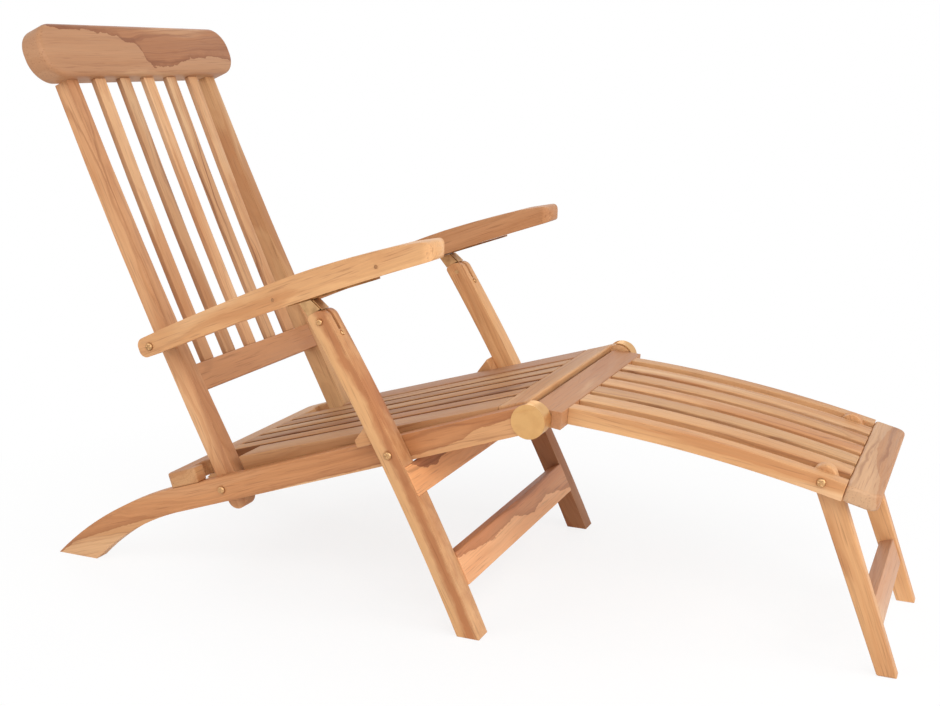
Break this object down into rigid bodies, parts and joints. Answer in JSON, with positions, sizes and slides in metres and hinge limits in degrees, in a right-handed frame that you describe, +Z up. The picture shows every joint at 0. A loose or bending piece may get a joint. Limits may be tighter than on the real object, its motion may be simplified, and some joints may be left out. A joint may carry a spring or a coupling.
{
  "type": "steamer deck chair",
  "caption": "Folding slatted teak deck chair with a reclining back, lifting arms on brass catches and a hinged footrest on folding legs.",
  "frame": {"origin": "on the floor, under the middle of the chair's overall box", "axes": "+X from the back towards the footrest, +Y towards the sitter's left, +Z up"},
  "size_m": [1.4794, 0.6, 0.9554],
  "materials": {
    "teak": "satin oiled teak, open grain",
    "teak_slats": "satin oiled teak, open grain",
    "brass": "satin brass"
  },
  "bodies": {
    "seat_frame": {"back_pivot_bolts": "brass", "back_pivot_washers": "brass", "brass_cap_left": "brass", "brass_cap_right": "brass", "hinge_pins": "brass", "leg_pivot_bolts": "brass", "leg_pivot_washers": "brass", "seat_batten": "teak_slats", "seat_front_rail": "teak", "seat_rear_rail": "teak", "seat_side_slat_left": "teak_slats", "seat_side_slat_right": "teak_slats", "seat_slat_1": "teak_slats", "seat_slat_2": "teak_slats", "seat_slat_3": "teak_slats", "seat_slat_4": "teak_slats", "seat_slat_5": "teak_slats", "side_rail_left": "teak", "side_rail_right": "teak"},
    "back": {"back_rail": "teak", "back_slat_1": "teak_slats", "back_slat_2": "teak_slats", "back_slat_3": "teak_slats", "back_slat_4": "teak_slats", "back_slat_5": "teak_slats", "back_stile_left": "teak", "back_stile_right": "teak", "headrest": "teak"},
    "arm_bolts": {"arm_pivot_bolts": "brass", "arm_spacers": "brass"},
    "left_arm": {"arm_left": "teak", "arm_track_left": "brass"},
    "right_arm": {"arm_right": "teak", "arm_track_right": "brass"},
    "legs": {"catch_block_left": "brass", "catch_block_right": "brass", "front_leg_left": "teak", "front_leg_right": "teak", "leg_crossbar": "teak", "leg_head_bolts": "brass", "leg_stretcher": "teak", "stop_block_left": "teak", "stop_block_right": "teak"},
    "left_catch": {"catch_lever_left": "brass"},
    "right_catch": {"catch_lever_right": "brass"},
    "footrest": {"footrest_end_rail": "teak", "footrest_first_rail": "teak", "footrest_leg_bolts": "brass", "footrest_side_rail_left": "teak", "footrest_side_rail_right": "teak", "footrest_slat_1": "teak_slats", "footrest_slat_2": "teak_slats", "footrest_slat_3": "teak_slats", "footrest_slat_4": "teak_slats", "footrest_slat_5": "teak_slats", "hinge_plate_left": "brass", "hinge_plate_right": "brass"},
    "footrest_legs": {"footrest_leg_bar": "teak", "footrest_leg_left": "teak", "footrest_leg_right": "teak"}
  },
  "joints": [
    {"name": "recline", "type": "hinge", "parent": "seat_frame", "child": "back", "pos_m": [-0.37461, 0, 0.16969], "axis": [0, 1, 0], "range_deg": [-16, 0]},
    {"name": "arm_bolt_turn", "type": "hinge", "parent": "back", "child": "arm_bolts", "pos_m": [-0.49118, 0, 0.418], "axis": [0, 1, 0], "range_deg": [0, 13.5]},
    {"name": "left_arm_lift", "type": "hinge", "parent": "arm_bolts", "child": "left_arm", "pos_m": [-0.49118, 0, 0.418], "axis": [0, 1, 0], "range_deg": [-57, 0]},
    {"name": "right_arm_lift", "type": "hinge", "parent": "arm_bolts", "child": "right_arm", "pos_m": [-0.49118, 0, 0.418], "axis": [0, 1, 0], "range_deg": [-57, 0]},
    {"name": "leg_fold", "type": "hinge", "parent": "seat_frame", "child": "legs", "pos_m": [-0.03694, 0, 0.28432], "axis": [0, 1, 0], "range_deg": [0, 60]},
    {"name": "left_catch_turn", "type": "hinge", "parent": "legs", "child": "left_catch", "pos_m": [-0.15618, 0, 0.48999], "axis": [0, 1, 0], "range_deg": [0, 45]},
    {"name": "right_catch_turn", "type": "hinge", "parent": "legs", "child": "right_catch", "pos_m": [-0.15618, 0, 0.48999], "axis": [0, 1, 0], "range_deg": [0, 45]},
    {"name": "footrest_fold", "type": "hinge", "parent": "seat_frame", "child": "footrest", "pos_m": [0.18422, 0, 0.3558], "axis": [0, 1, 0], "range_deg": [0, 90]},
    {"name": "footrest_leg_fold", "type": "hinge", "parent": "footrest", "child": "footrest_legs", "pos_m": [0.61582, 0, 0.298], "axis": [0, 1, 0], "range_deg": [0, 112]}
  ],
  "couplings": [
    {"joint": "arm_bolt_turn", "follows": "recline", "ratio": -0.829},
    {"joint": "left_arm_lift", "follows": "leg_fold", "ratio": -0.95},
    {"joint": "right_arm_lift", "follows": "leg_fold", "ratio": -0.95}
  ]
}
